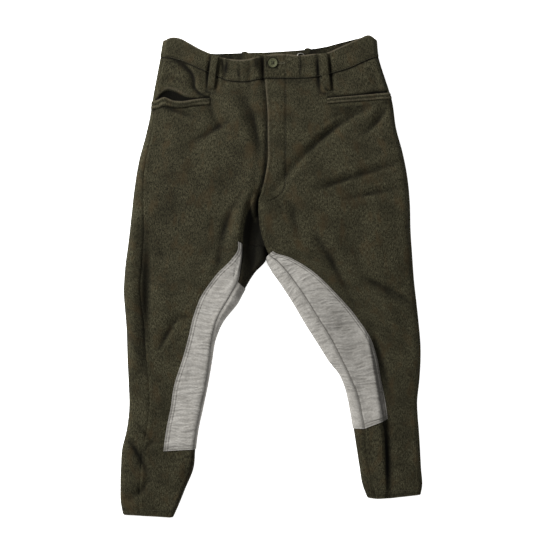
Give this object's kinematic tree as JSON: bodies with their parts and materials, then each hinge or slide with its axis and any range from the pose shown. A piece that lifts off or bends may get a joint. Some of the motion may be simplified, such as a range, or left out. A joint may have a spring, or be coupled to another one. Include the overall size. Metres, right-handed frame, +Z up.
{
  "type": "riding breeches",
  "caption": "Riding breeches laid flat, front up, with a buttoned fly, frontier pockets, belt loops and pale inner leg patches.",
  "frame": {"origin": "middle of the outline, on the surface the breeches lie on", "axes": "+X to the right of the front view, +Y toward the waist, +Z up from the surface"},
  "size_m": [0.544, 0.868, 0.0235],
  "materials": {
    "wool": "dark olive brown wool twill, napped, mottled",
    "patch": "pale grey corded cotton, matt, puckered",
    "button": "olive four-hole button, satin",
    "ring": "plain wire, dulled"
  },
  "bodies": {
    "root": {"front_right": "wool", "front_left": "wool", "back_right": "wool", "back_left": "wool", "hip_piece_right": "wool", "hip_piece_left": "wool", "pocket_welt_right": "wool", "pocket_welt_left": "wool", "waistband_right": "wool", "waistband_left": "wool", "waist_tab": "wool", "belt_loop_front_right": "wool", "belt_loop_front_left": "wool", "belt_loop_rear_right": "wool", "belt_loop_rear_left": "wool", "patch_front_right": "patch", "patch_back_right": "patch", "patch_front_left": "patch", "patch_back_left": "patch", "button": "button", "waist_ring": "ring"}
  },
  "joints": []
}
